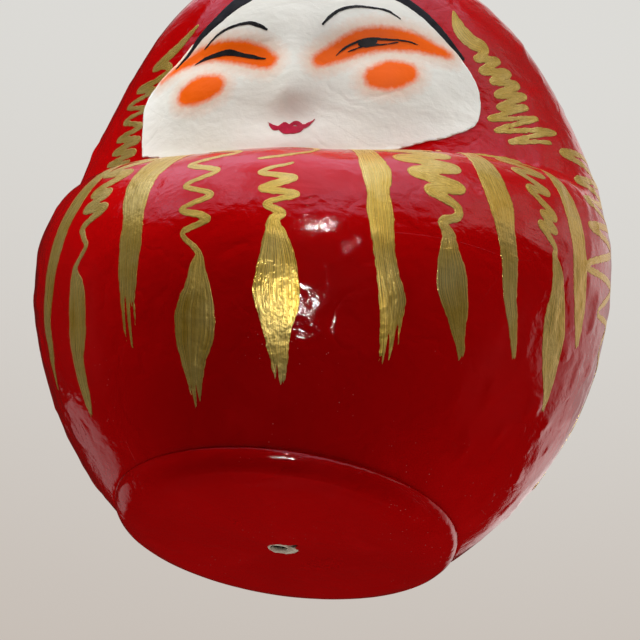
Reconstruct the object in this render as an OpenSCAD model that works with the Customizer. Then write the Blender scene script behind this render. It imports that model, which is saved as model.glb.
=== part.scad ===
// Daruma doll: a hollow papier-mache body on a fired clay weight.
// The doll faces -Y and stands on Z = 0, with the origin at the centre of its foot.
// Angles around the body run from the front, positive towards +X.

/* [Body] */
// Diameter of the belly's widest ring, before the face hollow is taken off
body_w = 150; // [144:1:156]
// Height from the floor to the crown
body_h = 174; // [170:1:178]
// Height of the belly's widest ring
belly_h = 82; // [80:1:84]
// Thickness of the pasted paper wall
wall = 2.4; // [1.8:0.1:3]
// Distance that the crown leans forward of the foot's axis
head_lean = 4.5; // [0:0.5:6]

/* [Face hollow] */
// Depth of the hollow that the face lies in, above the belly's rounded front
hollow_d = 30; // [26:0.5:32]
// Height where the belly's front starts to round over towards the chin
lip_h = 31; // [28:1:36]
// Height of the chin, at the back of the rounded front
chin_h = 73.5; // [71:0.5:76]
// Height that the rounded front rises by from the middle to the shoulders
shoulder_rise = 12; // [8:1:14]
// Height where the forehead meets the hood again
forehead_h = 139; // [134:1:146]

/* [Foot and weight] */
// Height of the crease between the foot and the belly
foot_h = 5.5; // [5:0.5:7]
// Radius of the flat disc that the doll stands on
flat_r = 30.5; // [28:0.5:33]
// Thickness of the paper pasted over the weight
skin = 0.8; // [0.5:0.1:1]
// Height of the weight's dome inside the body
weight_h = 24; // [18:1:30]
// Radius of the hole that the dipping stick is pushed into
stick_r = 2.25; // [1.5:0.25:3]
// Depth of the stick hole in the weight
stick_depth = 14; // [10:1:16]

/* [Back seam] */
// Width of the cut that the mould was taken out through
slit_w = 1.6; // [1:0.2:2.4]
// Height of the cut's lower end
slit_low_h = 20; // [16:1:26]
// Height of the cut's upper end
slit_top_h = 132; // [120:1:140]
// Thickness of the paper strip pasted over the cut
strip_t = 0.5; // [0.3:0.1:0.8]

/* [Hidden] */

// Body outline: an ellipse below the widest ring, and a fuller curve up to the crown.
belly_r = body_w / 2;
drop_h = 1.1 * belly_h;
crown_h = body_h - belly_h;
crown_p = 1.66;
crown_q = 0.55;
low_angle = asin((belly_h - foot_h) / drop_h);

// The hollow is deepest in the middle of the face, which makes the face nearly flat,
// and fades out at the sides of the hood, where the belly rounds over later and more tightly.
face_angle = 4;
hood_angle = 103;
side_lift = 12;
rise_from = 10;
rise_to = 85;
lean_from_h = 40;

// Mesh of the body: columns around it, and rows below and above the widest ring.
cols = 56;
low_rows = 18;
top_rows = 16;
rows = low_rows + top_rows;
col_angle = 360 / cols;

// Foot, glue and weight.
glue_t = 0.4;
dome_gap = 1;
crease_r = belly_r * cos(low_angle);
foot_r = crease_r - 0.4;
rim_h = foot_h - glue_t;
open_r = flat_r - 1.5;
dome_r = open_r - dome_gap;
tear_r = stick_r + 0.75;
arc_steps = 14;
eps = 0.01;

// The ends of the cut have no width, so a very small angle stands for it there.
closed_angle = 0.2;

paper_red = [0.55, 0.02, 0.03];
clay = [0.62, 0.45, 0.34];
glue = [0.80, 0.66, 0.40];

function share(x, low, high) = min(1, max(0, (x - low) / (high - low)));
function ramp(x, low, high) = let (u = share(x, low, high)) u * u * (3 - 2 * u);

// Outline of the body against the profile angle t, from -low_angle at the crease to 90 at the crown.
function side_z(t) = belly_h + (t < 0 ? drop_h : crown_h) * sin(t);
function side_r(t) = belly_r * (t < 0 ? cos(t) : pow(1 - pow(sin(t), crown_p), crown_q));

function hollow(a, z) =
    let (side = ramp(abs(a), face_angle, hood_angle),
         rise = shoulder_rise * ramp(abs(a), rise_from, rise_to),
         u = share(z, lip_h + side_lift * side + rise, chin_h + rise))
    hollow_d * (1 - sqrt(1 - u * u)) * (1 - ramp(z, chin_h + rise, forehead_h)) * (1 - side);

function lean(z) = head_lean * ramp(z, lean_from_h, body_h);

function skin_point(t, a) =
    let (z = side_z(t), r = side_r(t) - hollow(a, z))
    [r * sin(a), -r * cos(a) - lean(z), z];

function unit(v) = v / norm(v);

function outward(t, a) =
    let (step = 0.5)
    unit(cross(skin_point(t, a + step) - skin_point(t, a - step),
               skin_point(t + step, a) - skin_point(t - step, a)));

// A point of the body's surface, moved out by a distance.
function body_point(t, a, out) = skin_point(t, a) + out * outward(t, a);

function row_angle(i) =
    i < low_rows ? -low_angle * (1 - i / low_rows) : 90 * (i - low_rows) / top_rows;

// Rows that the cut in the back crosses.
slit_rows = [for (i = [1 : rows - 2])
    let (z = side_z(row_angle(i))) if (z > slit_low_h && z < slit_top_h) i];
slit_first = slit_rows[0];
slit_last = slit_rows[len(slit_rows) - 1];

function in_slit(i) = i >= slit_first && i <= slit_last;
function slit_angle(i) = asin(slit_w / 2 / side_r(row_angle(i)));
function half_gap(i) = in_slit(i) ? slit_angle(i) : closed_angle;

// The first and last columns are the two edges of the cut, and are one where there is no cut.
function col_at(i, j) = j == cols && !in_slit(i) ? 0 : j;
function shell_angle(i, j) =
    !in_slit(i) || (j > 0 && j < cols) ? -180 + j * col_angle
    : j == 0 ? -180 + slit_angle(i)
    : 180 - slit_angle(i);

// Two triangles between rows i and i + 1 and columns j and j + 1, seen from outside.
function quad(i, j, at) = [
    [at(i, j), at(i + 1, j), at(i + 1, j + 1)],
    [at(i, j), at(i + 1, j + 1), at(i, j + 1)]];
function flipped(faces) = [for (f = faces) [for (k = [len(f) - 1 : -1 : 0]) f[k]]];
function flat(lists) = [for (l = lists) each l];

// Papier-mache body, with an open floor for the weight and a cut up the back.
module shell() {
    ring = cols + 1;
    side = rows * ring;
    points = concat(
        [for (i = [0 : rows - 1], j = [0 : cols]) body_point(row_angle(i), shell_angle(i, j), 0)],
        [for (i = [0 : rows - 1], j = [0 : cols]) body_point(row_angle(i), shell_angle(i, j), -wall)],
        [for (z = [foot_h, foot_h + wall], j = [0 : cols - 1])
            [open_r * sin(j * col_angle - 180), -open_r * cos(j * col_angle - 180), z]],
        [[0, -head_lean, body_h], [0, -head_lean, body_h - wall]]);
    outer = function(i, j) i * ring + col_at(i, j);
    inner = function(i, j) side + i * ring + col_at(i, j);
    hole = function(k, j) 2 * side + k * cols + j % cols;
    crown = 2 * side + 2 * cols;
    quads = [for (i = [0 : rows - 2], j = [0 : cols - 1]) [i, j]];
    faces = concat(
        flat([for (q = quads) quad(q[0], q[1], outer)]),
        flat([for (q = quads) flipped(quad(q[0], q[1], inner))]),
        [for (j = [0 : cols - 1]) [outer(rows - 1, j), crown, outer(rows - 1, j + 1)]],
        [for (j = [0 : cols - 1]) [inner(rows - 1, j + 1), crown + 1, inner(rows - 1, j)]],
        // Floor that the weight is glued under.
        [for (j = [0 : cols - 1]) [outer(0, j), outer(0, j + 1), hole(0, j + 1), hole(0, j)]],
        [for (j = [0 : cols - 1]) [hole(0, j), hole(0, j + 1), hole(1, j + 1), hole(1, j)]],
        [for (j = [0 : cols - 1]) [hole(1, j), hole(1, j + 1), inner(0, j + 1), inner(0, j)]],
        // Edges and ends of the cut.
        [for (i = [slit_first : slit_last - 1])
            [outer(i + 1, 0), outer(i, 0), inner(i, 0), inner(i + 1, 0)]],
        [for (i = [slit_first : slit_last - 1])
            [outer(i, cols), outer(i + 1, cols), inner(i + 1, cols), inner(i, cols)]],
        slit_end(slit_first - 1, slit_first, 0, cols, outer, inner),
        slit_end(slit_last + 1, slit_last, cols, 0, outer, inner));
    color(paper_red) polyhedron(points, faces);
}

// Closes the cut between the row at its end and the whole row beyond it.
function slit_end(beyond, end, first, last, outer, inner) = [
    [outer(beyond, 0), outer(end, last), outer(end, first)],
    [inner(beyond, 0), inner(end, first), inner(end, last)],
    [outer(end, first), outer(end, last), inner(end, last), inner(end, first)]];

// A plate on the body's back, over rows first to last and between offsets low and high.
// Its columns lie at the angles that angles_at(row) gives, counted from the middle of the back.
module back_plate(first, last, angles_at, low, high) {
    n = len(angles_at(first));
    count = last - first + 1;
    points = [for (out = [high, low], i = [first : last], a = angles_at(i))
        body_point(row_angle(i), 180 + a, out)];
    top = function(i, j) i * n + j;
    under = function(i, j) (count + i) * n + j;
    quads = [for (i = [0 : count - 2], j = [0 : n - 2]) [i, j]];
    polyhedron(points, concat(
        flat([for (q = quads) quad(q[0], q[1], top)]),
        flat([for (q = quads) flipped(quad(q[0], q[1], under))]),
        flat([for (i = [0 : count - 2]) [
            [top(i + 1, 0), top(i, 0), under(i, 0), under(i + 1, 0)],
            [top(i, n - 1), top(i + 1, n - 1), under(i + 1, n - 1), under(i, n - 1)]]]),
        flat([for (j = [0 : n - 2]) [
            [top(0, j), top(0, j + 1), under(0, j + 1), under(0, j)],
            [top(count - 1, j + 1), top(count - 1, j), under(count - 1, j), under(count - 1, j + 1)]]])));
}

// Glue that closes the cut, as thick as the wall.
module slit_glue() {
    edges = function(i) [-slit_angle(i), slit_angle(i)];
    color(glue) back_plate(slit_first, slit_last, edges, -wall, 0);
}

// Paper strip pasted over the glued cut.
module back_strip() {
    edges = function(i) [-col_angle, -half_gap(i), half_gap(i), col_angle];
    color(paper_red) back_plate(slit_first - 1, slit_last + 1, edges, 0, strip_t);
}

// Rounded side of the foot, inset from its surface, from the flat disc up to height top_h.
function foot_arc(inset, top_h) =
    let (last = acos((foot_h - top_h) / (foot_h - inset)))
    [for (k = [0 : arc_steps]) let (f = last * k / arc_steps)
        [flat_r + (foot_r - inset - flat_r) * sin(f), foot_h - (foot_h - inset) * cos(f)]];

// Glue ring between the weight's rim and the body's floor.
module weight_glue() {
    rim = foot_arc(skin, rim_h);
    color(glue) translate([0, 0, rim_h]) difference() {
        cylinder(r = rim[arc_steps][0], h = glue_t, $fn = 96);
        translate([0, 0, -eps]) cylinder(r = open_r, h = glue_t + 2 * eps, $fn = 96);
    }
}

// Fired clay weight: a dish under the body's floor and a dome that stands up through it.
module base_weight() {
    collar_h = foot_h + wall;
    dome = [for (k = [0 : arc_steps]) let (f = 90 * k / arc_steps)
        [dome_r * cos(f), collar_h + (weight_h - collar_h) * sin(f)]];
    color(clay) difference() {
        rotate_extrude($fn = 96)
            polygon(concat([[0, skin]], foot_arc(skin, rim_h), [[dome_r, rim_h]], dome));
        translate([0, 0, skin - eps]) cylinder(r = stick_r, h = stick_depth + eps, $fn = 48);
    }
}

// Paper pasted over the weight, torn open round the stick hole.
module foot_skin() {
    color(paper_red) rotate_extrude($fn = 96)
        polygon(concat([[tear_r, 0]], foot_arc(0, foot_h),
            [for (k = [arc_steps : -1 : 0]) foot_arc(skin, foot_h)[k]], [[tear_r, skin]]));
}

shell();
slit_glue();
back_strip();
weight_glue();
base_weight();
foot_skin();
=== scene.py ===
"""Looks of the daruma doll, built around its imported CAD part.

Lengths in the shape formulas are millimetres, and become metres where a mesh is made.
Bumps in the materials, the lamps, the camera and the floor are in metres. Azimuths run from
the front of the doll, positive towards +X. A place on the body is given by its azimuth in
degrees and its arc length in millimetres up the skin from the foot's crease.
"""

import math

import bpy
import numpy as np
from mathutils import Matrix, Vector, noise


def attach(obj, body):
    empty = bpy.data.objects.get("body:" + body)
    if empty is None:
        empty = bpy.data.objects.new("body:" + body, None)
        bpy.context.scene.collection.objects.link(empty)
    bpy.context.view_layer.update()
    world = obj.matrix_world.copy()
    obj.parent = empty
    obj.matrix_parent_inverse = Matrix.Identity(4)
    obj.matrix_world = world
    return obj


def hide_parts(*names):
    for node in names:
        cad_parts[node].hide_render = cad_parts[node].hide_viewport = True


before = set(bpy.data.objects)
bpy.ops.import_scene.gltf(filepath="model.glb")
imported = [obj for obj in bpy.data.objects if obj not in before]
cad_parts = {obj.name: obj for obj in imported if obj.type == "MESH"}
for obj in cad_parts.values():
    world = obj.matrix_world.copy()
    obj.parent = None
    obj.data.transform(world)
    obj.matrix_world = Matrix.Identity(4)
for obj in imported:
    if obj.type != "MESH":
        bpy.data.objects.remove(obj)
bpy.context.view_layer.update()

MM = 0.001

# Sizes that part.scad has under the same names.
BELLY_R = 75.0
BELLY_H = 82.0
BODY_H = 174.0
DROP_H = 1.1 * BELLY_H
CROWN_P = 1.66
CROWN_Q = 0.55
HEAD_LEAN = 4.5
LEAN_FROM_H = 40
HOLLOW_D = 30
LIP_H = 31
CHIN_H = 73.5
SHOULDER_RISE = 12
FOREHEAD_H = 139
FACE_ANGLE = 4
HOOD_ANGLE = 103
SIDE_LIFT = 12
RISE_FROM = 10
RISE_TO = 85
FOOT_H = 5.5
FLAT_R = 30.5
CREASE_R = BELLY_R * math.sqrt(1 - ((BELLY_H - FOOT_H) / DROP_H) ** 2)
FOOT_R = CREASE_R - 0.4

# Share of the hollow's depth that is filled up again at the hood's sides, and its azimuths.
HOOD_FILL = 0.6
FILL_FROM = 55
FILL_TO = 85

# The body's grid, and the outline that each of its columns is sampled from.
COLS = 448
ROWS = 210
FRONT_CROWDING = 0.4
OUTLINE_STEP = 0.1
OUTLINE_SAMPLES = 900
ROUNDING_PASSES = 60

# Millimetres of skin in a degree of azimuth, roughly, for spacing points on a stroke.
DEGREE_MM = 1.1
# Points whose distances to a path are worked out together, which keeps the memory low.
BATCH = 4000
# Spacings of a stroke's broad and fine edge wobble, and of its brush hairs.
WOBBLE_BROAD = 1.1
WOBBLE_FINE = 0.45
HAIR_SPACING = 0.36
# Distance along the wobble between a stroke's two edges, so that they differ.
OTHER_EDGE = 400


# ---------------------------------------------------------------- body surface

def share(x, low, high):
    return np.clip((x - low) / (high - low), 0, 1)


def ramp(x, low, high):
    u = share(x, low, high)
    return u * u * (3 - 2 * u)


def gauss(x, width):
    return np.exp(-0.5 * (x / width) ** 2)


def unit(vectors):
    """The vectors at length 1. One of no length stays at nought."""
    return vectors / np.maximum(np.linalg.norm(vectors, axis=-1, keepdims=True), 1e-9)


def side_r(z):
    """Radius of the plain body at a height."""
    low = np.sqrt(np.maximum(1 - ((BELLY_H - z) / DROP_H) ** 2, 0))
    high = np.maximum(1 - share(z, BELLY_H, BODY_H) ** CROWN_P, 0) ** CROWN_Q
    return BELLY_R * np.where(z < BELLY_H, low, high)


def hollow(a, z):
    """Depth of the hollow that the face lies in."""
    side = ramp(np.abs(a), FACE_ANGLE, HOOD_ANGLE)
    rise = SHOULDER_RISE * ramp(np.abs(a), RISE_FROM, RISE_TO)
    u = share(z, LIP_H + SIDE_LIFT * side + rise, CHIN_H + rise)
    kept = 1 - HOOD_FILL * ramp(np.abs(a), FILL_FROM, FILL_TO)
    fade = (1 - ramp(z, CHIN_H + rise, FOREHEAD_H)) * kept
    return HOLLOW_D * (1 - np.sqrt(1 - u * u)) * fade * (1 - side)


def lean(z):
    return HEAD_LEAN * ramp(z, LEAN_FROM_H, BODY_H)


def smooth_rows(values, passes):
    """Rounds a profile off, and keeps its two ends."""
    for _ in range(passes):
        values[1:-1] = 0.25 * values[:-2] + 0.5 * values[1:-1] + 0.25 * values[2:]
    return values


def profile(a):
    """Radius and height of one column, evenly spaced by arc length, and that length."""
    z = np.r_[np.arange(FOOT_H, BODY_H, OUTLINE_STEP), BODY_H]
    r = side_r(z) - hollow(a, z)
    s = np.r_[0, np.cumsum(np.hypot(np.diff(z), np.diff(r)))]
    even = np.linspace(0, s[-1], OUTLINE_SAMPLES)
    r = smooth_rows(np.interp(even, s, r), ROUNDING_PASSES)
    z = smooth_rows(np.interp(even, s, z), ROUNDING_PASSES)
    rows = np.linspace(0, s[-1], ROWS + 1)
    return np.interp(rows, even, r), np.interp(rows, even, z), s[-1]


# Azimuths of the columns, closer together at the front. The first and last are the back's middle.
turn = np.arange(COLS + 1) / COLS * 2 - 1
COL_A = 180 * (turn - FRONT_CROWDING * np.sin(np.pi * turn) / np.pi)
columns = [profile(a) for a in COL_A]
RADIUS = np.array([c[0] for c in columns])
HEIGHT = np.array([c[1] for c in columns])
LENGTH = np.array([c[2] for c in columns])
ARC = LENGTH[:, None] * np.linspace(0, 1, ROWS + 1)[None, :]
angle = np.radians(COL_A)[:, None]
PLAIN = np.stack([RADIUS * np.sin(angle), -RADIUS * np.cos(angle) - lean(HEIGHT), HEIGHT], -1)


def normals_of(grid):
    """Outward normals of the body grid, whose first and last columns are the same line."""
    wrapped = np.vstack([grid[-2:-1], grid, grid[1:2]])
    across = wrapped[2:] - wrapped[:-2]
    up = np.gradient(grid, axis=1)
    normals = unit(np.cross(across, up))
    normals[:, -1] = (0, 0, 1)
    return normals


def noise_at(points, scale, offset, octaves=1):
    """Noise of about -1 to 1 at the points, with a scale in millimetres."""
    flat = (points.reshape(-1, 3) / scale + offset).tolist()
    if octaves == 1:
        values = [noise.noise(p) for p in flat]
    else:
        increment, lacunarity = 0.8, 2.0
        values = [noise.fractal(p, increment, lacunarity, octaves) for p in flat]
    return np.array(values).reshape(points.shape[:-1])


def relief(grid):
    """Height of the doll's features and of the hand-pasted paper above the plain body."""
    a = np.broadcast_to(COL_A[:, None], ARC.shape)
    x = RADIUS * np.radians(a)
    from_front = np.abs(a)

    def bulge(height, x_middle, arc_middle, width, tall):
        """A rounded bulge of the face, the same on both sides of its middle."""
        return height * gauss(np.abs(x) - x_middle, width) * gauss(ARC - arc_middle, tall)

    nose_arc = 110.5
    nose = bulge(2.0, 0, nose_arc, 3.8, np.where(ARC > nose_arc, 7.5, 4.2))
    cheeks = bulge(1.5, 27, 109, 9, 9)
    sockets = bulge(-0.9, 17, 120, 10, 3.5)
    chin = bulge(0.9, 0, 97.5, 9, 3.5)
    # Lumps of the moulded paper, from the broad ones to the wrinkles. The finer ones are lower on
    # the face, and all fade out at the crease, where the foot starts.
    calm = 1 - 0.45 * ramp(ARC, 88, 98) * (1 - ramp(from_front, 40, 52)) * (1 - ramp(ARC, 140, 150))
    broad = 0.7 * noise_at(grid, scale=42, offset=3.1)
    lumps = 0.22 * noise_at(grid, scale=16, offset=11.7)
    small = 0.035 * noise_at(grid, scale=6.5, offset=23.9, octaves=2)
    # Folds that run up and down, on the sides and the back.
    pleats = noise_at(grid * np.array([2.0, 2.0, 1]), scale=11, offset=47.3, octaves=2)
    folds = 0.6 * np.maximum(pleats, 0) ** 1.5 * ramp(from_front, 38, 64)
    paper = (broad + (lumps + small + folds) * calm) * ramp(ARC, 0, 12)
    return nose + cheeks + sockets + chin + paper


BODY = PLAIN + relief(PLAIN)[..., None] * normals_of(PLAIN)
BODY[-1] = BODY[0]
BODY[:, -1] = BODY[:, -1].mean(0)
NORMAL = normals_of(BODY)


def on_body(a, s, lift=0.0):
    """Points on the body's skin, and its normals there, lifted off it by some millimetres."""
    a = (np.asarray(a, float) + 180) % 360 - 180
    col = np.interp(a, COL_A, np.arange(COLS + 1))
    row = np.clip(np.asarray(s, float) / np.interp(a, COL_A, LENGTH) * ROWS, 0, ROWS)
    i = np.minimum(col.astype(int), COLS - 1)
    j = np.minimum(row.astype(int), ROWS - 1)
    u, v = (col - i)[..., None], (row - j)[..., None]
    mix = [(1 - u) * (1 - v), u * (1 - v), (1 - u) * v, u * v]
    near = [(i, j), (i + 1, j), (i, j + 1), (i + 1, j + 1)]
    point = sum(m * BODY[k] for m, k in zip(mix, near))
    normal = unit(sum(m * NORMAL[k] for m, k in zip(mix, near)))
    return point + lift * normal, normal


# ---------------------------------------------------------------- meshes

def make(name, points, faces, material, replaces=(), attributes=None, flat_from=None):
    """A smooth mesh piece that rides on the doll's only body. Faces from flat_from on are flat."""
    mesh = bpy.data.meshes.new(name)
    mesh.from_pydata((np.asarray(points) * MM).tolist(), [], faces)
    mesh.validate()
    mesh.update()
    smooth = np.ones(len(mesh.polygons), bool)
    if flat_from is not None:
        smooth[flat_from:] = False
    mesh.polygons.foreach_set("use_smooth", smooth)
    for key, values in (attributes or {}).items():
        data = mesh.attributes.new(key, "FLOAT_VECTOR", "POINT")
        data.data.foreach_set("vector", np.asarray(values, np.float32).ravel())
    mesh.materials.append(material)
    piece = bpy.data.objects.new(name, mesh)
    bpy.context.scene.collection.objects.link(piece)
    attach(piece, "root")
    if replaces:
        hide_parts(*replaces)
    return piece


def ring_faces(cols, rows):
    """Quads of an open tube whose points run round it row by row."""
    j = np.arange(cols)
    k = (j + 1) % cols
    low = np.arange(rows - 1)[:, None] * cols
    quads = np.stack([low + j, low + k, low + cols + k, low + cols + j], 2)
    return quads.reshape(-1, 4).tolist()


def closed_ring_faces(cols, rows):
    """Quads of a ring whose last row joins its first, facing out when the rows run inwards."""
    quads = np.array(ring_faces(cols, rows + 1)) % (cols * rows)
    return quads[:, ::-1].tolist()


def curve(points, step=0.3):
    """Samples of a smooth curve through (azimuth, arc length, half width) points."""
    p = np.array(points, float)
    p = np.vstack([2 * p[0] - p[1], p, 2 * p[-1] - p[-2]])
    out = []
    for i in range(1, len(p) - 2):
        gap = np.hypot((p[i + 1, 0] - p[i, 0]) * DEGREE_MM, p[i + 1, 1] - p[i, 1])
        t = np.linspace(0, 1, max(3, int(gap / step)), endpoint=False)[:, None]
        bend = 2 * p[i - 1] - 5 * p[i] + 4 * p[i + 1] - p[i + 2]
        twist = 3 * p[i] - p[i - 1] - 3 * p[i + 1] + p[i + 2]
        out.append(p[i] + 0.5 * ((p[i + 1] - p[i - 1]) * t + bend * t ** 2 + twist * t ** 3))
    return np.vstack(out + [p[-2:-1]])


def wander(x, spacing, rng):
    """A seeded random line of -1 to 1, with a new value at each spacing."""
    count = int(np.ptp(x) / spacing) + 3
    return np.interp((x - x.min()) / spacing, np.arange(count), rng.uniform(-1, 1, count))


def brush(a, s, points, rng, edge, ragged=0.0):
    """Field of a brush stroke, positive inside it, and the coordinates along and across it."""
    path = curve(points)
    place, normal = on_body(path[:, 0], path[:, 1])
    side = unit(np.cross(np.gradient(place, axis=0), normal))
    along = np.r_[0, np.cumsum(np.linalg.norm(np.diff(place, axis=0), axis=1))]
    width = np.maximum(path[:, 2], 0.02)
    spots = on_body(a, s)[0]
    field, best = np.empty(len(a)), np.empty(len(a), int)
    for k in range(0, len(a), BATCH):
        gap = np.linalg.norm(spots[k:k + BATCH, None] - place[None], axis=2)
        score = width[None] - gap
        best[k:k + BATCH] = score.argmax(1)
        field[k:k + BATCH] = score.max(1)
    across = ((spots - place[best]) * side[best]).sum(1)
    t = along[best]
    edge_place = t + np.where(across > 0, OTHER_EDGE, 0)
    field += edge * wander(edge_place, WOBBLE_BROAD, rng)
    field += 0.5 * edge * wander(edge_place, WOBBLE_FINE, rng)
    if ragged:
        comb = 0.5 + 0.5 * wander(across, HAIR_SPACING, rng)
        field = np.minimum(field, along[-1] - t - ragged * comb ** 2)
    return field, np.stack([t / 10, across / width[best], np.zeros(len(a))], 1)


def closed_region(a, s, points):
    """Field of an area inside a smooth closed outline, positive inside it."""
    ring = np.array(points + points[:1], float)
    ring = np.column_stack([ring, np.zeros(len(ring))])
    path = curve(ring)[:, :2]
    place = on_body(path[:, 0], path[:, 1])[0]
    spots = on_body(a, s)[0]
    inside = np.zeros(len(a), bool)
    for (a0, s0), (a1, s1) in zip(path[:-1], path[1:]):
        crosses = (s0 > s) != (s1 > s)
        if s1 != s0:
            inside ^= crosses & (a < (a1 - a0) * (s - s0) / (s1 - s0) + a0)
    nearest = np.empty(len(a))
    for k in range(0, len(a), BATCH):
        gap = np.linalg.norm(spots[k:k + BATCH, None] - place[None], axis=2)
        nearest[k:k + BATCH] = gap.min(1)
    return np.where(inside, nearest, -nearest)


def coat(name, field_at, span, step, material, lift=0.045, sink=0.12, replaces=()):
    """A thin closed solid of paint on the body, where field_at(a, s) is positive."""
    a0, a1, s0, s1 = span
    middle = on_body((a0 + a1) / 2, (s0 + s1) / 2)[0]
    degree = math.radians(1) * math.hypot(middle[0], middle[1])
    count_a = int((a1 - a0) * degree / step) + 2
    count_s = int((s1 - s0) / step) + 2
    grid_a, grid_s = np.meshgrid(np.linspace(a0, a1, count_a), np.linspace(s0, s1, count_s))
    field, extra = field_at(grid_a.ravel(), grid_s.ravel())
    field = field.reshape(count_s, count_a)
    field[[0, -1]] = -1
    field[:, [0, -1]] = -1
    full = np.dstack([grid_a, grid_s, extra.reshape(count_s, count_a, 3)])
    inside = field > 0
    # Points: grid points inside, then the crossings on grid lines along a and along s.
    corner = np.full(inside.shape, -1)
    first_cut = int(inside.sum())
    corner[inside] = np.arange(first_cut)
    cuts_a = inside[:, 1:] != inside[:, :-1]
    cuts_s = inside[1:] != inside[:-1]
    on_a = np.full(cuts_a.shape, -1)
    on_a[cuts_a] = first_cut + np.arange(cuts_a.sum())
    on_s = np.full(cuts_s.shape, -1)
    on_s[cuts_s] = first_cut + cuts_a.sum() + np.arange(cuts_s.sum())

    def crossing(cuts, before, after):
        """Places where the outline cuts the grid lines, kept off the grid points themselves."""
        f0, f1 = field[before][cuts], field[after][cuts]
        t = np.clip(f0 / (f0 - f1), 0.12, 0.88)[:, None]
        return full[before][cuts] * (1 - t) + full[after][cuts] * t

    cut_a = crossing(cuts_a, np.s_[:, :-1], np.s_[:, 1:])
    cut_s = crossing(cuts_s, np.s_[:-1], np.s_[1:])
    flat = np.vstack([full[inside], cut_a, cut_s])
    count = len(flat)
    round_cell = np.s_[:-1, :-1], np.s_[:-1, 1:], np.s_[1:, 1:], np.s_[1:, :-1]
    whole = np.all([inside[k] for k in round_cell], 0)
    mixed = np.any([inside[k] for k in round_cell], 0) & ~whole
    faces = np.stack([corner[k][whole] for k in round_cell], 1).tolist()
    walls = []
    for i, j in zip(*np.nonzero(mixed)):
        loop = [corner[i, j], on_a[i, j], corner[i, j + 1], on_s[i, j + 1],
                corner[i + 1, j + 1], on_a[i + 1, j], corner[i + 1, j], on_s[i, j]]
        face = [int(v) for v in loop if v >= 0]
        faces.append(face)
        for v, w in zip(face, face[1:] + face[:1]):
            if v >= first_cut and w >= first_cut:
                walls.append((v, w))
    under = [[v + count for v in reversed(face)] for face in faces]
    sides = [[w, v, v + count, w + count] for v, w in walls]
    top = on_body(flat[:, 0], flat[:, 1], lift)[0]
    low = on_body(flat[:, 0], flat[:, 1], -sink)[0]
    marks = np.vstack([flat[:, 2:], flat[:, 2:]])
    return make(name, np.vstack([top, low]), faces + under + sides, material, replaces,
                attributes={"stroke": marks}, flat_from=len(faces))


def span_of(*strokes, margin=3.0):
    """Azimuth and arc length limits that hold some strokes."""
    p = np.vstack([np.array(q, float) for q in strokes])
    room = p[:, 2].max() + margin
    return (p[:, 0].min() - room, p[:, 0].max() + room, p[:, 1].min() - room, p[:, 1].max() + room)


# ---------------------------------------------------------------- materials

def rgb(r, g, b):
    return (r, g, b, 1.0)


class Nodes:
    """The node tree of a material or a world, with short ways to add nodes to it."""

    def __init__(self, owner):
        owner.use_nodes = True
        self.tree = owner.node_tree
        self.tree.nodes.clear()

    def put(self, socket, value):
        if isinstance(value, bpy.types.NodeSocket):
            self.tree.links.new(value, socket)
        else:
            socket.default_value = value

    def node(self, kind, inputs=None, **settings):
        made = self.tree.nodes.new(kind)
        for key, value in settings.items():
            setattr(made, key, value)
        for key, value in (inputs or {}).items():
            self.put(made.inputs[key], value)
        return made

    def math(self, kind, a, b=0.0):
        return self.node("ShaderNodeMath", {0: a, 1: b}, operation=kind).outputs[0]

    def vector(self, kind, a, b=None, output="Vector"):
        inputs = {0: a} if b is None else {0: a, 1: b}
        return self.node("ShaderNodeVectorMath", inputs, operation=kind).outputs[output]

    def fit(self, value, low, high, to_low=0.0, to_high=1.0, kind="LINEAR"):
        inputs = {"Value": value, "From Min": low, "From Max": high, "To Min": to_low, "To Max": to_high}
        return self.node("ShaderNodeMapRange", inputs, interpolation_type=kind).outputs[0]

    def blend(self, amount, a, b):
        return self.node("ShaderNodeMix", {0: amount, 6: a, 7: b}, data_type="RGBA").outputs[2]


class Shader(Nodes):
    """A material's node tree, with the nodes that every paint here shares."""

    def __init__(self, name):
        self.material = bpy.data.materials.new(name)
        super().__init__(self.material)
        self.main = self.node("ShaderNodeBsdfPrincipled")
        self.out = self.node("ShaderNodeOutputMaterial", {"Surface": self.main.outputs[0]})
        self.where = self.node("ShaderNodeTexCoord").outputs["Object"]

    def noise(self, scale, detail=3.0, rough=0.55, at=None, distortion=0.0):
        inputs = {"Vector": at or self.where, "Scale": scale, "Detail": detail,
                  "Roughness": rough, "Distortion": distortion}
        return self.node("ShaderNodeTexNoise", inputs).outputs["Fac"]

    def cells(self, scale, at=None, output="Distance"):
        inputs = {"Vector": at or self.where, "Scale": scale}
        return self.node("ShaderNodeTexVoronoi", inputs).outputs[output]

    def stretch(self, scale, at=None):
        return self.node("ShaderNodeMapping", {"Vector": at or self.where, "Scale": scale}).outputs[0]

    def bump(self, height, distance, under=None):
        inputs = {"Height": height, "Distance": distance, "Strength": 1.0}
        if under is not None:
            inputs["Normal"] = under
        return self.node("ShaderNodeBump", inputs).outputs[0]

    def mark(self):
        """The stroke attribute of a coat."""
        return self.node("ShaderNodeAttribute", attribute_name="stroke").outputs["Vector"]

    def set(self, **values):
        for key, value in values.items():
            self.put(self.main.inputs[key.replace("_", " ")], value)
        return self.material


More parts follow.
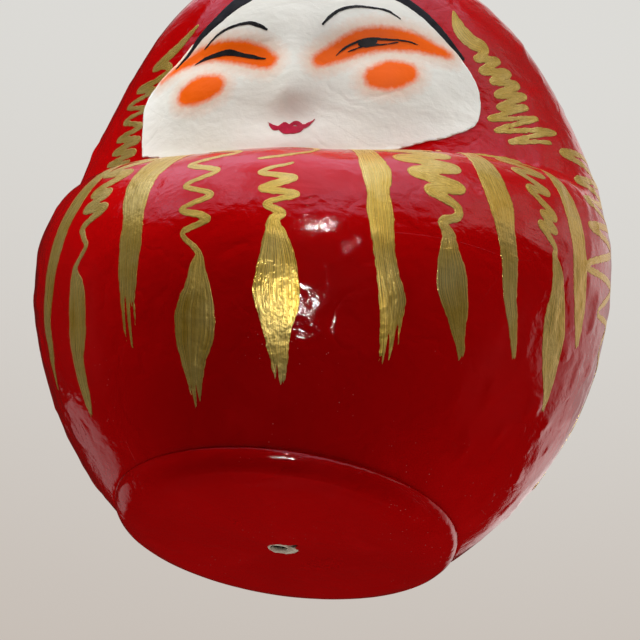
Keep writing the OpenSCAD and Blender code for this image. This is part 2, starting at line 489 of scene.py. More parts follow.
def paper_skin(sh, amount=1.0):
    """Wrinkles, pasted strip edges and grit of papier-mache, as a bump."""
    folds = sh.noise(70, 3, 0.5, sh.stretch((1, 1, 1.5)), 0.35)
    creases = sh.math("ABSOLUTE", sh.math("SUBTRACT", sh.noise(48, 3, 0.5), 0.5))
    strips = sh.cells(38, sh.stretch((1, 1, 1.7)), "Color")
    steps = sh.noise(240, 3, 0.6, sh.stretch((1, 1, 1.5)), 0.5)
    grit = sh.noise(1100, 3, 0.65)
    skin = sh.bump(folds, 0.00055 * amount)
    skin = sh.bump(sh.fit(creases, 0.0, 0.035), 0.00005 * amount, skin)
    skin = sh.bump(strips, 0.00002 * amount, skin)
    skin = sh.bump(steps, 0.0001 * amount, skin)
    return sh.bump(grit, 0.00004 * amount, skin)


def red_lacquer(name):
    """Glossy red, with cloudy depth, thin places and a few pale pink specks that are painted glints."""
    deep = rgb(0.39, 0.0006, 0.001)
    bright = rgb(0.48, 0.0008, 0.0014)
    thin_red = rgb(0.56, 0.003, 0.004)
    painted_glint = rgb(0.8, 0.3, 0.28)
    sh = Shader(name)
    cloud = sh.fit(sh.noise(26, 4, 0.6), 0.3, 0.72)
    thin = sh.fit(sh.noise(75, 3, 0.6), 0.55, 0.8, 0.0, 0.5)
    # Painted glints: sparse, small pale pink specks mixed into the red in place of sparkles of light.
    glint_specks = sh.fit(sh.cells(700), 0.0, 0.12, 1.0, 0.0)
    sparse = sh.fit(sh.noise(45, 2, 0.5), 0.56, 0.62)
    base = sh.blend(cloud, deep, bright)
    base = sh.blend(thin, base, thin_red)
    base = sh.blend(sh.math("MULTIPLY", sh.math("MULTIPLY", glint_specks, sparse), 0.5), base, painted_glint)
    rough = sh.fit(sh.noise(70, 4, 0.65), 0.3, 0.72, 0.025, 0.09)
    return sh.set(Base_Color=base, Roughness=rough, IOR=1.5, Normal=paper_skin(sh))


def face_white(name):
    """Chalky white. The coat's stroke attribute holds how much orange and how much halo it has."""
    cream = rgb(0.9, 0.885, 0.79)
    shade = rgb(0.83, 0.81, 0.705)
    dirt = rgb(0.66, 0.5, 0.48)
    peach = rgb(0.86, 0.47, 0.28)
    orange_red = rgb(0.95, 0.13, 0.0005)
    sh = Shader(name)
    blush = sh.node("ShaderNodeSeparateXYZ", {0: sh.mark()})
    grain = sh.fit(sh.noise(900, 2, 0.6), 0.3, 0.7, -0.09, 0.09)
    orange = sh.fit(sh.math("ADD", blush.outputs[0], grain), 0.2, 0.8)
    halo = sh.fit(sh.math("ADD", blush.outputs[1], grain), 0.1, 1.0)
    stain = sh.fit(sh.noise(85, 4, 0.65), 0.64, 0.8, 0.0, 0.25)
    base = sh.blend(sh.fit(sh.noise(45, 4, 0.6), 0.35, 0.7), cream, shade)
    base = sh.blend(stain, base, dirt)
    base = sh.blend(sh.math("MULTIPLY", halo, 0.75), base, peach)
    base = sh.blend(orange, base, orange_red)
    rough = sh.fit(sh.noise(140, 3, 0.6), 0.3, 0.7, 0.36, 0.58)
    skin = paper_skin(sh, 0.8)
    return sh.set(Base_Color=base, Roughness=rough, IOR=1.45, Specular_IOR_Level=0.15, Normal=skin)


def gold_paint(name):
    """Bronze powder paint, with the brush's hairs drawn out along each stroke."""
    dull = rgb(0.6, 0.36, 0.035)
    bright = rgb(0.84, 0.58, 0.12)
    pale = rgb(0.93, 0.76, 0.3)
    sh = Shader(name)
    mark = sh.mark()
    hairs = sh.noise(1.0, 3, 0.6, sh.stretch((0.22, 7.0, 1.0), mark))
    fine = sh.noise(1.0, 2, 0.6, sh.stretch((0.5, 24.0, 1.0), mark))
    skin = sh.bump(sh.noise(300, 3, 0.65), 0.00028, paper_skin(sh, 0.8))
    skin = sh.bump(hairs, 0.00004, skin)
    skin = sh.bump(fine, 0.00004, skin)
    base = sh.blend(sh.fit(hairs, 0.3, 0.7), dull, bright)
    base = sh.blend(sh.fit(sh.noise(60, 3, 0.6), 0.42, 0.72, 0.0, 0.6), base, pale)
    rough = sh.fit(fine, 0.35, 0.65, 0.2, 0.38)
    return sh.set(Base_Color=base, Metallic=0.7, Roughness=rough, Normal=skin)


def matt_paint(name, low, high):
    """Brushed paint with little shine, between two colours."""
    sh = Shader(name)
    skin = sh.bump(sh.noise(700, 2, 0.6), 0.00008, paper_skin(sh, 0.5))
    base = sh.blend(sh.fit(sh.noise(420, 3, 0.6), 0.3, 0.7), low, high)
    rough = sh.fit(sh.noise(200, 3, 0.6), 0.3, 0.7, 0.32, 0.52)
    return sh.set(Base_Color=base, Roughness=rough, IOR=1.45, Specular_IOR_Level=0.25, Normal=skin)


def torn_paper(name):
    """Bare fibrous paper."""
    pale = rgb(0.68, 0.6, 0.47)
    brown = rgb(0.36, 0.25, 0.18)
    sh = Shader(name)
    fibre = sh.noise(1500, 4, 0.7, sh.stretch((1, 0.4, 1)))
    base = sh.blend(sh.fit(sh.noise(700, 3, 0.6), 0.35, 0.7), pale, brown)
    rough = sh.fit(fibre, 0.3, 0.7, 0.7, 0.95)
    return sh.set(Base_Color=base, Roughness=rough, Normal=sh.bump(fibre, 0.00025))


def fired_clay(name):
    """Unglazed clay, with painted shade in the stick hole: near black at its axis, fading out further off.
    """
    clay = rgb(0.3, 0.14, 0.07)
    pale_clay = rgb(0.42, 0.22, 0.12)
    hole_shade = rgb(0.012, 0.006, 0.005)
    sh = Shader(name)
    grit = sh.noise(600, 4, 0.7)
    base = sh.blend(sh.fit(sh.noise(150, 4, 0.6), 0.3, 0.7), clay, pale_clay)
    # Painted shade in the stick hole: near black within about 4 mm of the axis, gone by about 8 mm.
    from_axis = sh.vector("LENGTH", sh.stretch((1, 1, 0)), output="Value")
    ragged = sh.math("ADD", from_axis, sh.fit(grit, 0.3, 0.7, -0.001, 0.001))
    base = sh.blend(sh.fit(ragged, 0.004, 0.008, 0.95, 0.0), base, hole_shade)
    rough = sh.fit(grit, 0.3, 0.7, 0.75, 0.95)
    return sh.set(Base_Color=base, Roughness=rough, Normal=sh.bump(grit, 0.0003))


def hide_glue(name):
    """Dried amber glue."""
    amber = rgb(0.5, 0.3, 0.1)
    pale_amber = rgb(0.68, 0.47, 0.2)
    sh = Shader(name)
    flow = sh.noise(220, 3, 0.5)
    base = sh.blend(sh.fit(flow, 0.3, 0.7), amber, pale_amber)
    rough = sh.fit(sh.noise(90), 0.3, 0.7, 0.15, 0.35)
    return sh.set(Base_Color=base, Roughness=rough, Normal=sh.bump(flow, 0.0003))


RED = red_lacquer("red_lacquer_look")
WHITE = face_white("white_paint_look")
GOLD = gold_paint("gold_paint_look")
BLACK = matt_paint("black_paint_look", rgb(0.006, 0.006, 0.006), rgb(0.02, 0.018, 0.018))
CRIMSON = matt_paint("lip_paint_look", rgb(0.4, 0.004, 0.03), rgb(0.55, 0.01, 0.05))
TORN = torn_paper("raw_paper_look")
CLAY = fired_clay("fired_clay_look")
GLUE = hide_glue("hide_glue_look")


# ---------------------------------------------------------------- body and foot

def build_body():
    """The paper body: its skin, a lip turned in at the crease, and a floor."""
    grid = BODY[:COLS, :ROWS].transpose(1, 0, 2)
    lip = grid[0].copy()
    lip[:, :2] *= 1 - 0.9 / CREASE_R
    lip[:, 2] -= 0.1
    rows = np.concatenate([lip[None], grid])
    points = np.vstack([rows.reshape(-1, 3), BODY[:1, -1], [(0, 0, FOOT_H - 0.1)]])
    faces = ring_faces(COLS, ROWS + 1)
    crown, floor = len(points) - 2, len(points) - 1
    last = ROWS * COLS
    for j in range(COLS):
        k = (j + 1) % COLS
        faces.append([last + j, last + k, crown])
        faces.append([k, j, floor])
    make("body", points, faces, RED, ("shell", "slit_glue"))


# Thickness of the foot's paper, the place that its tear is centred on, and the direction of the
# split that runs out from the tear, in degrees turned from +X towards +Y.
FOOT_SKIN = 0.9
TEAR_X = 0.35
TEAR_Y = 0.3
SPLIT_TURN = 322


def level_ring(r, z, turns, x=0.0, y=0.0):
    """A level ring of points round (x, y). Its radius may differ from point to point."""
    return np.column_stack([r * np.cos(turns) + x, r * np.sin(turns) + y, np.full(len(turns), z)])


def build_foot():
    """The paper-covered foot: a shallow dish with a rounded side, torn open in the middle."""
    cols = 240
    turns = np.arange(cols) / cols * 2 * np.pi
    degrees = np.degrees(turns)
    rng = np.random.default_rng(5)
    tear = 2.6 + 0.6 * np.cos(turns) ** 2
    tear += 0.3 * np.interp(degrees, np.arange(0, 361, 15), np.r_[rng.uniform(-1, 1, 24), 0])
    tear += 1.9 * gauss(degrees - SPLIT_TURN, 6.5)
    # Radius and height of each ring, from the crease over the side and in to the tear.
    round_r = FOOT_R - FLAT_R
    flat_end = 5.2
    side = [(FLAT_R + round_r * math.cos(q), FOOT_H - FOOT_H * math.sin(q))
            for q in np.linspace(0, 1, 22) * np.pi / 2]
    disc = [(r, 0.0) for r in np.linspace(FLAT_R, flat_end, 40)[1:]]
    rings = [level_ring(r, z, turns) for r, z in [(FOOT_R - 0.7, FOOT_H + 0.15)] + side + disc]
    # The torn edge, turned up a little.
    for part, z in ((0.45, 0.0), (0.85, 0.03), (1.0, 0.12), (1.0, 0.55)):
        r = flat_end + (tear - flat_end) * part
        rings.append(level_ring(r, z, turns, TEAR_X * part, TEAR_Y * part))
    # The inside, back out to the crease.
    inside = [(FLAT_R - 1 + round_r * math.cos(q), FOOT_H - (FOOT_H - FOOT_SKIN) * math.sin(q))
              for q in np.linspace(1, 0, 8) * np.pi / 2]
    rings += [level_ring(r, z, turns) for r, z in [(6.5, FOOT_SKIN)] + inside]
    grid = np.array(rings)
    r = np.hypot(grid[..., 0], grid[..., 1])
    outward = (grid[..., :2] / r[..., None]) * ramp(r, FLAT_R - 2, FOOT_R)[..., None]
    wobble = 0.45 * noise_at(grid, scale=24, offset=5.5)
    wobble = wobble + 0.1 * noise_at(grid, scale=9, offset=15.5, octaves=2)
    on_side = ramp(r, FLAT_R - 4, FOOT_R - 2) * (1 - ramp(grid[..., 2], 4.4, 5.4))
    grid[..., :2] += outward * (wobble * on_side)[..., None]
    # The flat disc only dips inwards, so that the doll still stands on z = 0.
    dips = np.maximum(0, 0.25 + wobble) * 0.5 * ramp(r, 3.5, 9)
    grid[..., 2] += dips * (grid[..., 2] < 1)
    faces = closed_ring_faces(cols, len(grid))
    make("foot", grid.reshape(-1, 3), faces, RED, ("foot_skin",))


def build_torn_ring():
    """Bare paper round the stick hole, where the red skin is torn away."""
    cols = 120
    turns = np.arange(cols) / cols * 2 * np.pi
    degrees = np.degrees(turns)
    rng = np.random.default_rng(8)
    ragged = np.interp(degrees, np.arange(0, 361, 12), np.r_[rng.uniform(-1, 1, 30), 0])
    rim = 4.4 - 1.9 * gauss(degrees - SPLIT_TURN, 20)
    outer = np.column_stack([TEAR_X + rim * np.cos(turns), TEAR_Y + rim * np.sin(turns)])
    inner = np.column_stack([-0.7 + (1.95 + 0.3 * ragged) * np.cos(turns),
                             -0.35 + (1.25 + 0.25 * ragged) * np.sin(turns)])
    # How far out each ring lies from the hole to the rim, and its height: under, then over.
    rings = ((1.0, 0.3), (0.6, 0.12), (0.3, 0.0), (0.1, 0.12), (0.0, 0.5), (0.0, 0.75), (0.3, 0.78),
             (1.0, 0.6))
    grid = np.array([np.column_stack([inner + (outer - inner) * part, np.full(cols, z)])
                     for part, z in rings])
    near_hole = np.hypot(grid[..., 0], grid[..., 1]) < 3.6
    grid[..., 2] += 0.1 * noise_at(grid, scale=0.9, offset=3.3) * near_hole
    grid[..., 2] = np.maximum(grid[..., 2], 0.0)
    make("torn_ring", grid.reshape(-1, 3), closed_ring_faces(cols, len(grid)), TORN)


build_body()
build_foot()
build_torn_ring()

# ---------------------------------------------------------------- face

FACE_EDGE = [(-44, 95), (-44.6, 104), (-44, 111), (-39.5, 116), (-33, 120.5), (-26, 126.5),
             (-14.7, 134.5), (-4, 140), (5, 141), (15, 139), (25.5, 133.5), (35, 125.5), (41.5, 118.5),
             (46, 112.5), (47.9, 106), (47, 101), (42.5, 97.5), (36, 95.2), (22, 92), (4, 90.5),
             (-14, 91), (-32, 93)]
SHADOW_L = [(-38, 116.3, 0.4), (-31, 119.4, 1.4), (-23, 121.9, 2.4), (-16, 121.6, 3.0),
            (-10, 119.9, 3.0), (-6.3, 118.3, 2.2)]
SHADOW_R = [(7, 117.9, 1.9), (12, 120.2, 2.8), (17, 122.4, 3.3), (22, 123, 3.2), (28, 122.4, 2.8),
            (33, 121, 2.0), (38, 119.4, 1.0)]
CHEEK_L = [(-29, 110.2, 2.9), (-25.3, 111.4, 3.9), (-21.6, 112.4, 2.9)]
CHEEK_R = [(22, 112.6, 3.0), (25.3, 113, 4.0), (28.6, 113.4, 3.0)]


def face_field(a, s):
    """Field of the face's outline, and how much orange and halo there is at each place."""
    rng = np.random.default_rng(21)
    field = closed_region(a, s, FACE_EDGE) + 0.15 * wander(a * 1.3 + s, 2.5, rng)
    soft = [brush(a, s, stroke, rng, edge=0.0)[0] for stroke in (SHADOW_L, SHADOW_R, CHEEK_L, CHEEK_R)]
    nearest = np.max(soft, 0)
    orange = share(nearest, -1.3, 1.3)
    halo = share(nearest, -4.5, 1.0)
    return field, np.stack([orange, halo, np.zeros(len(a))], 1)


def painted(name, strokes, material, slot, seed, step=0.16, lift=0.26, sink=-0.04, edge=0.06):
    """Fine brush work: the union of some strokes, as one coat."""
    def field_at(a, s):
        rng = np.random.default_rng(seed)
        parts = [brush(a, s, stroke, rng, edge) for stroke in strokes]
        best = np.argmax([field for field, mark in parts], 0)
        pick = np.arange(len(a))
        return (np.array([field for field, mark in parts])[best, pick],
                np.array([mark for field, mark in parts])[best, pick])
    return coat(name, field_at, span_of(*strokes, margin=1.0), step, material, lift, sink)


def black(name, seed, strokes, **sizes):
    """Fine brush work in black."""
    return painted(name, strokes, BLACK, "black_paint", seed, **sizes)


coat("face", face_field, (-50, 54, 87, 146), 0.7, WHITE, lift=0.16, sink=0.3)

HAIR = [(-33, 119, 0.25), (-29.5, 122, 0.5), (-25.5, 126.5, 0.9), (-20, 131, 1.4), (-14.5, 135.2, 1.8),
        (-4, 140.4, 2.0), (5, 141.4, 2.0), (15, 139.2, 1.7), (25.6, 133.8, 1.1), (32, 129, 1.0),
        (37, 124, 0.8), (41.6, 119.2, 0.35)]
black("hair_line", 31, [HAIR], step=0.3, lift=0.2, sink=0.15)
black("brow_left", 32, [[(-24.3, 123, 0.15), (-22, 125.2, 0.22), (-19.3, 127, 0.28), (-15.8, 128.2, 0.33),
                         (-12.3, 128.6, 0.42), (-9.4, 127.8, 0.52), (-7.1, 126.5, 0.3)]])
black("brow_right", 33, [[(7, 127, 0.3), (9, 129.4, 0.42), (11.4, 130.9, 0.4), (14.6, 131.6, 0.34),
                          (19, 131.2, 0.26), (22.2, 130.4, 0.26), (25.2, 128.4, 0.15)]])
black("eye_left", 34, [[(-27.4, 118.8, 0.1), (-24, 120.4, 0.42), (-20.5, 121.2, 0.62), (-17.6, 121.5, 0.8),
                        (-14.4, 120.7, 0.55), (-11.2, 119.8, 0.5), (-7.4, 119, 0.16)]])
black("eye_right", 35, [[(11, 119, 0.15), (12.6, 120.6, 0.24), (14.6, 121.9, 0.3), (17.2, 122.7, 0.4),
                         (20, 123, 0.36), (23.6, 122.8, 0.24), (27.2, 122.5, 0.26), (30.8, 121.4, 0.12)],
                        [(14, 120, 0.15), (16.7, 121, 0.19), (19, 121.4, 0.3), (22.3, 121.6, 0.18),
                         (25.6, 122, 0.16)],
                        [(16.6, 121.9, 0.5), (18.2, 122, 1.05), (19.8, 122.6, 0.9)]])
painted("lips", [[(-6.2, 102.7, 0.12), (-5.2, 101.8, 0.4), (-4, 101, 0.55), (-2.6, 101, 0.5)],
                 [(-2.4, 101.2, 0.5), (-1.4, 101.9, 0.5), (-0.4, 101.3, 0.5)],
                 [(0.4, 101.3, 0.5), (1.8, 102, 0.55), (3.2, 101.5, 0.6)],
                 [(-2, 100.7, 0.7), (-0.6, 100.3, 1.0), (1.2, 100.2, 1.1), (3, 100.3, 0.9),
                  (3.8, 101, 0.6)],
                 [(3.4, 101, 0.45), (4.8, 101.2, 0.45), (5.9, 102, 0.35), (7.1, 102.9, 0.12)]],
        CRIMSON, "lip_paint", 36, edge=0.16)

# ---------------------------------------------------------------- gold strokes


def gold(name, points, seed, ragged, step=0.3):
    """One gold stroke, whose hairs part over the last few millimetres that ragged gives."""
    def field_at(a, s):
        return brush(a, s, points, np.random.default_rng(seed), edge=0.13, ragged=ragged)
    return coat(name, field_at, span_of(points), step, GOLD)


def mirrored(points, further):
    """A stroke on the doll's other side, and some degrees further round."""
    return [(-a - further, s, w) for a, s, w in points]


WAVE_1 = [(3, 84, 0.8), (10, 80, 0.9), (1.5, 76, 0.8), (10, 71.5, 0.8), (9.8, 67.4, 0.5),
          (4.8, 64.3, 0.6), (0.4, 62.7, 0.5)]
DROP_5 = [(7.2, 61, 0.4), (2, 57.6, 0.7), (8, 56, 0.95), (3, 52.8, 0.95), (9, 51.6, 0.75),
          (4.2, 49, 0.7), (7, 47, 0.95), (5.8, 45.2, 1.15), (6.6, 41, 2.5), (7.2, 36.5, 3.8),
          (7.5, 31.5, 4.6), (8, 28, 4.0), (8.1, 24.5, 2.9), (8.8, 20, 2.1), (9.5, 15.5, 1.3),
          (9.7, 11.8, 0.3)]
DROP_4 = [(-4, 84, 0.8), (-11, 80.5, 0.9), (-4.5, 77, 0.9), (-12, 73, 0.9), (-4.2, 67.5, 0.75),
          (-12.8, 63.4, 0.85), (-6.4, 59, 0.8), (-11.7, 55.5, 0.65), (-6.2, 51.7, 0.75),
          (-11.4, 49, 0.65), (-6, 46, 0.85), (-10.4, 43.8, 0.65), (-9.5, 41.6, 0.5), (-7.4, 38.8, 0.75),
          (-7.6, 35.5, 1.8), (-7.8, 31.5, 2.9), (-8.6, 27.3, 4.3), (-9, 23.6, 4.4), (-9.8, 19.5, 3.2),
          (-10.4, 14.5, 1.9), (-11, 8, 0.4)]
BAR_3 = [(-19.5, 88, 3.6), (-20.3, 78, 4.0), (-21.4, 68.5, 4.3), (-22.4, 62, 3.9), (-22.2, 56, 3.4),
         (-21.7, 50, 2.75), (-21.9, 44, 3.0), (-22.8, 38, 2.6), (-23.7, 33, 2.0), (-24.4, 28.5, 1.75),
         (-25.2, 22.5, 1.2)]
BAR_6 = [(17, 88, 2.4), (18.6, 78, 2.3), (20.3, 69.5, 2.3), (21.4, 64, 2.8), (22.2, 60.2, 3.1),
         (22.7, 55.5, 2.35), (23.6, 50, 2.65), (25.3, 42.5, 2.15), (27, 37.5, 2.3), (28.7, 33.5, 2.65),
         (29.5, 29.5, 2.2), (30.6, 24, 1.7), (31.3, 19, 1.3)]
DROP_7 = [(22, 86, 0.9), (31, 84, 1.2), (22, 80, 1.2), (33, 78, 1.3), (23, 73.5, 1.2), (35, 73.5, 1.6),
          (26.5, 68.3, 1.6), (36, 68, 1.7), (28.8, 63.3, 1.6), (36.8, 62, 1.5), (31.6, 59, 1.3),
          (36.3, 57, 1.1), (36.9, 54.6, 0.95), (34.6, 52.2, 1.1), (36, 49.5, 1.4), (36.6, 46.5, 2.2),
          (37.9, 42.8, 3.1), (39, 39.8, 3.4), (40.8, 36.5, 2.7), (43.2, 32, 1.5), (45, 29, 0.8),
          (46, 26.5, 0.3)]
BAR_8 = [(40, 92, 1.2), (41.3, 84, 1.8), (42.2, 76, 2.5), (43.3, 68.5, 3.2), (45, 62, 3.2),
         (46.5, 56.5, 2.5), (48.5, 51, 2.2), (50.5, 45, 1.85), (53.2, 40, 1.35), (56, 35.8, 0.9),
         (58, 32.5, 0.3)]
DROP_9 = [(46, 92, 0.8), (57.5, 92, 0.9), (47.5, 87, 0.9), (58, 86.5, 1.0), (48, 81, 1.1),
          (56.5, 80.5, 1.2), (49.6, 76.5, 1.1), (55.8, 74, 1.2), (51.5, 71.4, 1.1), (57.3, 68, 1.2),
          (54.3, 66.5, 1.0), (57.8, 64.6, 0.9), (54, 63.3, 1.1), (58.2, 60.8, 0.85), (58.7, 58.4, 0.9),
          (60.7, 55.3, 1.9), (62.2, 52, 2.5), (63.8, 47.5, 3.7), (65.4, 44.2, 4.2), (67.8, 39.8, 3.4),
          (70.5, 36, 2.2), (73.1, 32.5, 1.1), (75.2, 29.6, 0.3)]
BAR_10 = [(59.6, 87, 0.5), (60.2, 83, 1.9), (62, 77, 3.1), (64, 71, 3.3), (66, 65, 3.2),
          (68.2, 59, 3.1), (70.4, 55, 2.8), (72.6, 51, 1.9), (75.3, 46.6, 0.5)]
DROP_11 = [(80, 108, 0.8), (67.5, 99.5, 1.0), (83, 103, 1.0), (70.5, 92.8, 0.9), (84, 97, 1.0),
           (69.5, 84.5, 0.8), (84, 89.5, 1.0), (69, 75.8, 0.8), (85, 83, 1.0), (68.8, 64.4, 0.8),
           (87, 74, 1.0), (78.5, 60, 0.6), (92, 67, 0.9), (89, 58.5, 0.8), (98, 60, 1.0),
           (101, 55, 2.4), (104, 49, 3.9), (107, 42.5, 3.5), (110, 36, 1.8), (112, 29, 0.3)]
BAR_1 = [(-36, 92, 2.2), (-37.3, 82, 2.6), (-38.8, 72, 3.2), (-40.6, 63, 3.4), (-42.6, 58, 3.3),
         (-45.2, 52.5, 3.4), (-49.5, 46.2, 3.1), (-53.6, 40.5, 2.8), (-56, 33.5, 1.9),
         (-60.8, 25.5, 0.5)]
DROP_2 = [(-24, 88, 0.9), (-33, 85.5, 1.2), (-25, 81, 1.2), (-34, 78, 1.4), (-26, 73, 1.4),
          (-35, 70.5, 1.5), (-28.4, 66.5, 1.6), (-34.6, 63, 1.5), (-30.6, 60.5, 1.4),
          (-35.4, 58.4, 1.3), (-29.8, 56, 1.2), (-35, 53.6, 1.0), (-34.8, 51, 0.75), (-33.8, 48, 0.7),
          (-35.8, 45.8, 0.7), (-37.5, 43.8, 1.0), (-37.7, 39.5, 2.7), (-39, 35, 3.3),
          (-41.2, 30.2, 3.2), (-43.2, 26.5, 2.3), (-46, 18.5, 1.7), (-48.4, 13.6, 0.3)]

gold("stroke_wave", WAVE_1, 1, ragged=1.0)
gold("stroke_drop_5", DROP_5, 2, ragged=7.0, step=0.2)
gold("stroke_drop_4", DROP_4, 3, ragged=9.0, step=0.2)
gold("stroke_bar_3", BAR_3, 4, ragged=12.0, step=0.2)
gold("stroke_bar_6", BAR_6, 5, ragged=12.0, step=0.2)
gold("stroke_drop_7", DROP_7, 6, ragged=2.0)
gold("stroke_bar_8", BAR_8, 7, ragged=3.0)
gold("stroke_drop_9", DROP_9, 8, ragged=2.5)
gold("stroke_bar_10", BAR_10, 9, ragged=2.0)
gold("stroke_drop_11", DROP_11, 10, ragged=2.0)
gold("stroke_bar_1", BAR_1, 11, ragged=2.0)
gold("stroke_drop_2", DROP_2, 12, ragged=2.0)
# The left side, which the hand hides, repeats the right.
gold("stroke_drop_left", mirrored(DROP_9, 13), 13, ragged=2.5)
gold("stroke_bar_left", mirrored(BAR_10, 18), 14, ragged=2.0)

HOOD_RIGHT = [(37.8, 133.4, 0.3), (38.8, 130.5, 1.3), (40.3, 127.5, 2.2), (43, 125.2, 2.4),
              (45.8, 124.6, 2.0), (46.8, 123.2, 1.0), (45, 120.2, 0.95), (50.6, 121.9, 1.0),
              (46.7, 117, 0.95), (53.7, 119.4, 1.0), (49.6, 114.8, 0.9), (56.3, 116.8, 1.05),
              (51.2, 111.2, 0.9), (58.4, 114, 1.0), (52, 107.8, 0.8), (58.9, 110.4, 0.85),
              (50.3, 103.8, 0.6), (61.5, 107.8, 0.7), (52, 100.7, 0.6), (66, 105.5, 0.8),
              (55.5, 98.4, 0.55), (65, 101.5, 0.7)]
HOOD_LEFT = [(-27, 130.6, 0.5), (-30, 128, 1.15), (-33, 125.8, 1.5), (-38.6, 123, 1.8),
             (-41.5, 122, 1.1), (-36.6, 121.2, 1.1), (-36, 119, 1.05), (-41, 117.6, 1.05),
             (-48.2, 117.6, 1.0), (-40.6, 114.6, 0.8), (-52.4, 114, 0.7), (-43.4, 109.8, 0.65),
             (-53, 109.4, 0.7), (-45.4, 105, 0.85), (-55, 104.4, 0.75), (-46.2, 101, 1.0),
             (-56, 100.5, 0.8), (-47.2, 97.4, 1.0), (-57, 97, 0.7), (-48, 94.6, 0.8)]
gold("hood_stroke_right", HOOD_RIGHT, 16, ragged=1.0)
gold("hood_stroke_left", HOOD_LEFT, 17, ragged=1.0)

# ---------------------------------------------------------------- strip over the back's cut

BACK_STRIP = [(180, 27, 8), (180, 60, 8.2), (180, 100, 7.8), (180, 136, 7.6)]


def strip_field(a, s):
    return brush(a % 360, s, BACK_STRIP, np.random.default_rng(41), edge=0.3)


coat("back_strip_paper", strip_field, (168, 192, 16, 146), 0.8, RED,
     lift=0.42, sink=0.2, replaces=("back_strip",))

for node, look in (("base_weight", CLAY), ("weight_glue", GLUE)):
    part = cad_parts[node]
    part.data.materials.clear()
    part.data.materials.append(look)

# ---------------------------------------------------------------- stage, light and camera


def direction(az, el):
    """Unit vector towards an azimuth and elevation in degrees."""
    az, el = math.radians(az), math.radians(el)
    return Vector((math.sin(az) * math.cos(el), -math.cos(az) * math.cos(el), math.sin(el)))


def world_light():
    """A room that is pale above and dark below, and a backdrop that only the camera sees, with painted
    shade that makes it darker and warmer towards the bottom.
    """
    cool = rgb(0.88, 0.95, 1.3)
    warm = rgb(0.78, 0.66, 0.64)
    unlit = rgb(0.012, 0.008, 0.007)
    backdrop_low = rgb(0.56, 0.5, 0.45)
    backdrop_high = rgb(0.72, 0.71, 0.68)
    world = bpy.data.worlds.new("surroundings")
    bpy.context.scene.world = world
    room = Nodes(world)
    where = room.node("ShaderNodeTexCoord").outputs["Generated"]
    axes = room.node("ShaderNodeSeparateXYZ", {0: where})
    up = axes.outputs[2]
    level_way = room.node("ShaderNodeCombineXYZ", {0: axes.outputs[0], 1: axes.outputs[1]}).outputs[0]
    level_way = room.vector("NORMALIZE", level_way)

    def towards(way, az, el, low, high, to_low, to_high):
        """A value that goes from to_low to to_high towards a direction, between two cosines."""
        facing = room.vector("DOT_PRODUCT", way, direction(az, el), "Value")
        return room.fit(facing, low, high, to_low, to_high, "SMOOTHSTEP")

    # Height of the line between pale and dark: higher behind on the left, lower behind on the right.
    left = towards(level_way, -124, 0, 0.45, 0.62, 0.0, 0.36)
    right = towards(level_way, 150, 0, 0.74, 0.86, 0.0, -0.36)
    line = room.math("ADD", room.math("ADD", 0.43, left), right)
    dark = room.fit(room.math("SUBTRACT", up, line), 0.05, -0.05, kind="SMOOTHSTEP")
    # A dark part high on the right, which keeps the hood's side deep red.
    high_right = towards(where, 104, 60, 0.9, 0.97, 0.0, 0.85)
    dark = room.math("MAXIMUM", dark, high_right)
    # Cool light round the window, and warmer light away from it.
    tone = room.blend(towards(where, -18, 44, 0.8, 0.35, 0.0, 1.0), cool, warm)
    # Lighter and darker things in the room, which the lacquer's wrinkles break up into streaks.
    things = room.node("ShaderNodeTexNoise",
                       {"Vector": where, "Scale": 3.6, "Detail": 3.0, "Roughness": 0.6})
    patches = room.fit(things.outputs["Fac"], 0.38, 0.62, 0.5, 1.25, "SMOOTHSTEP")
    tone = room.node("ShaderNodeVectorMath", {0: tone, "Scale": patches}, operation="SCALE").outputs[0]
    tone = room.blend(dark, tone, unlit)
    # The backdrop's painted shade: darker and warmer lower down, paler higher up.
    seen = room.blend(room.fit(up, 0.1, 0.8, kind="SMOOTHSTEP"), backdrop_low, backdrop_high)
    lit = room.node("ShaderNodeBackground", {"Color": tone, "Strength": 1.0})
    view = room.node("ShaderNodeBackground", {"Color": seen, "Strength": 1.0})
    camera_ray = room.node("ShaderNodeLightPath").outputs["Is Camera Ray"]
    both = room.node("ShaderNodeMixShader", {0: camera_ray, 1: lit.outputs[0], 2: view.outputs[0]})
    room.node("ShaderNodeOutputWorld", {"Surface": both.outputs[0]})


# Azimuth, elevation and roll of the camera in degrees, and its distance from its target. The
# target is on the doll's axis, shifted a little to the right and up as the camera sees it.
CAM_AZ = 15.42
CAM_EL = -33.71
CAM_ROLL = 8.51
CAM_DISTANCE = 0.261
CAM_TARGET = Vector((0, 0, 0.062))
CAM_RIGHT = 0.00089
CAM_UP = 0.00108
LENS_MM = 56.25
SENSOR_MM = 36
FLOOR_HALF = 1.5
# What the lamps are aimed at: the doll's middle, or the front of its belly.
MIDDLE = Vector((0, 0, 0.085))
FRONT = Vector((0.008, -0.066, 0.05))


def aim(thing, place, target, roll=0.0):
    """Points a light or camera at a target, turned about its line of sight."""
    thing.location = place
    turned = (target - place).to_track_quat("-Z", "Y").to_matrix().to_4x4()
    thing.rotation_euler = (turned @ Matrix.Rotation(roll, 4, "Z")).to_euler()


def area_light(name, az, el, distance, size, power, gloss=False, high=None, target=MIDDLE):
    """An elliptical lamp that lights the colours, or with gloss only shows in reflections."""
    light = bpy.data.lights.new(name, "AREA")
    light.shape = "ELLIPSE"
    light.size = size
    light.size_y = high or size
    light.energy = power
    lamp = bpy.data.objects.new(name, light)
    bpy.context.scene.collection.objects.link(lamp)
    lamp.visible_glossy = gloss
    lamp.visible_diffuse = not gloss
    aim(lamp, target + direction(az, el) * distance, target)


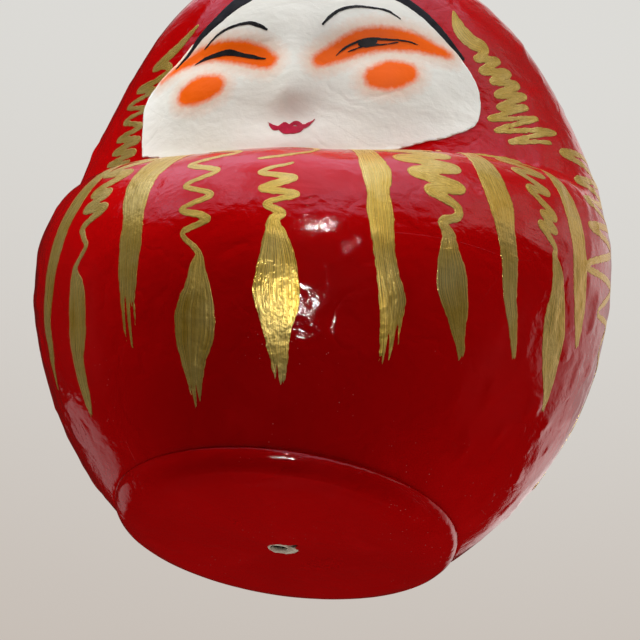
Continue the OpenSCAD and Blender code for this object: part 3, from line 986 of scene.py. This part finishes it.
def build_camera():
    camera = bpy.data.cameras.new("camera")
    camera.sensor_width = SENSOR_MM
    camera.lens = LENS_MM
    camera.clip_start = 0.01
    eye = bpy.data.objects.new("camera", camera)
    bpy.context.scene.collection.objects.link(eye)
    back = direction(CAM_AZ, CAM_EL)
    right = (-back).cross(Vector((0, 0, 1))).normalized()
    up = right.cross(-back)
    target = CAM_TARGET + right * CAM_RIGHT + up * CAM_UP
    aim(eye, target + back * CAM_DISTANCE, target, math.radians(CAM_ROLL))
    bpy.context.scene.camera = eye


def build_floor():
    """A pale floor that is clear from below, where the camera looks up through it."""
    sh = Shader("floor_look")
    tone = sh.blend(sh.fit(sh.noise(6, 3), 0.3, 0.7), rgb(0.66, 0.64, 0.62), rgb(0.7, 0.68, 0.66))
    sh.set(Base_Color=tone, Roughness=0.7)
    back = sh.node("ShaderNodeNewGeometry").outputs["Backfacing"]
    clear = sh.node("ShaderNodeBsdfTransparent").outputs[0]
    mix = sh.node("ShaderNodeMixShader", {0: back, 1: sh.main.outputs[0], 2: clear})
    sh.put(sh.out.inputs["Surface"], mix.outputs[0])
    mesh = bpy.data.meshes.new("floor")
    half = FLOOR_HALF
    corners = [(-half, -half, 0), (half, -half, 0), (half, half, 0), (-half, half, 0)]
    mesh.from_pydata(corners, [], [(0, 1, 2, 3)])
    mesh.materials.append(sh.material)
    floor = bpy.data.objects.new("floor", mesh)
    bpy.context.scene.collection.objects.link(floor)
    floor.visible_shadow = False
    floor.visible_diffuse = False
    floor.visible_glossy = False


# The default view transform turns the deep red pale.
bpy.context.scene.view_settings.view_transform = "Standard"
world_light()
area_light("window", -15, 46, 1.2, size=0.9, power=18.5)
area_light("sky_light", 160, 60, 1.3, size=1.0, power=2.5)
area_light("left_fill", -95, 0, 1.2, size=0.9, power=6.3)
area_light("right_fill", 104, -12, 1.2, size=0.9, power=6.6)
area_light("low_fill", -155, -55, 1.2, size=0.9, power=8.5)
area_light("front_fill", 15, -10, 1.2, size=0.9, power=2.6)
area_light("low_gloss", -124, -10, 1.2, size=0.5, power=0.2, gloss=True)
area_light("lamp_high", 10, 12, 1.0, size=0.06, power=1.1, gloss=True, high=0.014, target=FRONT)
area_light("lamp_spark", 23, -2, 1.0, size=0.02, power=0.12, gloss=True, high=0.01, target=FRONT)
area_light("lamp_low", 7, -32, 1.0, size=0.12, power=1.7, gloss=True, high=0.022, target=FRONT)

build_camera()
build_floor()
